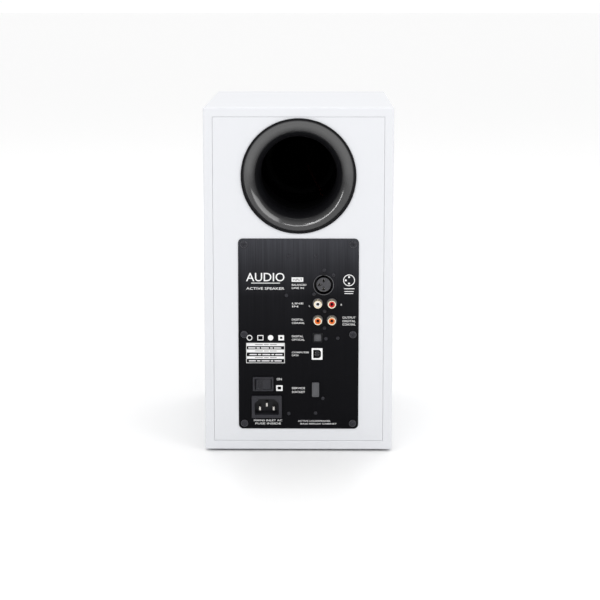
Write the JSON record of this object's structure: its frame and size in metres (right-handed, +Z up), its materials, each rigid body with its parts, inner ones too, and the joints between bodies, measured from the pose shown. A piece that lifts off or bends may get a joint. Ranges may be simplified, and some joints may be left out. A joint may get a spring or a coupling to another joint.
{
  "type": "bookshelf speaker",
  "caption": "Powered bookshelf loudspeaker: white lacquered box, cone woofer and dome tweeter in front, flared bass port and amplifier panel with sockets behind.",
  "frame": {"origin": "middle of the footprint of the whole loudspeaker, sockets and woofer included, on the surface that the feet stand on", "axes": "+Z up, front with the woofer and tweeter faces -Y, rear with the port and amplifier panel faces +Y, +X to the right as seen from the front"},
  "size_m": [0.19, 0.294, 0.3501],
  "materials": {
    "lacquered_board": "satin white lacquer",
    "raw_board": "raw fibreboard",
    "felt": "grey felt",
    "rubber": "matt black",
    "grey_rubber": "matt dark grey",
    "port_plastic": "satin black, lightly grained",
    "cast_frame": "black powder coat",
    "cone_metal": "satin",
    "dome_metal": "bright",
    "copper": "enamelled wire",
    "spider_cloth": "resin-stiffened weave",
    "steel": "zinc plated",
    "ferrite": "dark, matt",
    "black_anodised": "upright brush lines, black anodised",
    "black_plastic": "moulded",
    "black_steel": "black",
    "gold_plate": "gold plated",
    "white_plastic": "moulded",
    "circuit_board": "green solder mask",
    "bare_aluminium": "extruded",
    "lead_red": "insulated lead"
  },
  "bodies": {
    "cabinet": {"cabinet_wrap": "lacquered_board", "front_baffle": "lacquered_board", "rear_baffle": "lacquered_board", "cabinet_brace": "raw_board", "damping_felt": "felt", "foot_front_left": "rubber", "foot_front_right": "rubber", "foot_rear_left": "rubber", "foot_rear_right": "rubber", "port_flare": "port_plastic", "port_tube": "port_plastic", "woofer_basket": "cast_frame", "woofer_surround": "rubber", "woofer_spider": "spider_cloth", "woofer_top_plate": "steel", "woofer_magnet": "ferrite", "woofer_back_plate": "steel", "tweeter_faceplate": "black_plastic", "tweeter_surround": "rubber", "tweeter_magnet": "ferrite", "tweeter_back_cup": "steel", "tweeter_guard": "black_steel", "amp_plate": "black_anodised", "amp_gasket": "rubber", "amp_screw_1": "black_steel", "amp_screw_2": "black_steel", "amp_screw_3": "black_steel", "amp_screw_4": "black_steel", "amp_screw_5": "black_steel", "amp_screw_6": "black_steel", "xlr_socket": "black_plastic", "rca_jack_coax_in": "gold_plate", "rca_jack_coax_out": "gold_plate", "rca_jack_line_left": "gold_plate", "rca_jack_line_right": "gold_plate", "optical_socket": "black_plastic", "usb_socket": "white_plastic", "service_socket": "steel", "power_switch_frame": "black_plastic", "mains_inlet": "black_plastic", "mains_pin_live": "steel", "mains_pin_neutral": "steel", "mains_pin_earth": "steel", "input_board": "circuit_board", "amplifier_board": "circuit_board", "wireless_module": "steel", "transformer": "ferrite", "board_spacer_left": "steel", "board_spacer_right": "steel", "heat_sink": "bare_aluminium", "woofer_lead": "lead_red", "tweeter_lead": "lead_red"},
    "woofer_moving": {"woofer_cone": "cone_metal", "woofer_dust_cap": "cone_metal", "woofer_voice_coil": "copper"},
    "tweeter_moving": {"tweeter_dome": "dome_metal", "tweeter_voice_coil": "copper"},
    "shutter": {"optical_shutter": "grey_rubber"},
    "cover": {"service_cover": "grey_rubber"},
    "rocker": {"power_rocker": "black_plastic"}
  },
  "joints": [
    {"name": "woofer_travel", "type": "slide", "parent": "cabinet", "child": "woofer_moving", "axis": [0, -1, 0], "range_m": [-0.005, 0.005], "stiffness_N_per_m": 900, "deforming": ["woofer_surround", "woofer_spider"]},
    {"name": "tweeter_travel", "type": "slide", "parent": "cabinet", "child": "tweeter_moving", "axis": [0, -1, 0], "range_m": [-0.0004, 0.0004], "stiffness_N_per_m": 200, "deforming": ["tweeter_surround"]},
    {"name": "shutter_swing", "type": "hinge", "parent": "cabinet", "child": "shutter", "pos_m": [-0.0194, 0.13805, 0.1212], "axis": [-1, 0, 0], "range_deg": [0, 80], "stiffness_Nm_per_rad": 0.00001, "springref_deg": -11.46},
    {"name": "cover_pull", "type": "slide", "parent": "cabinet", "child": "cover", "axis": [0, 1, 0], "range_m": [0, 0.009]},
    {"name": "rocker_tip", "type": "hinge", "parent": "cabinet", "child": "rocker", "pos_m": [0.0358, 0.13755, 0.0705], "axis": [0, 0, -1], "range_deg": [0, 20]}
  ]
}
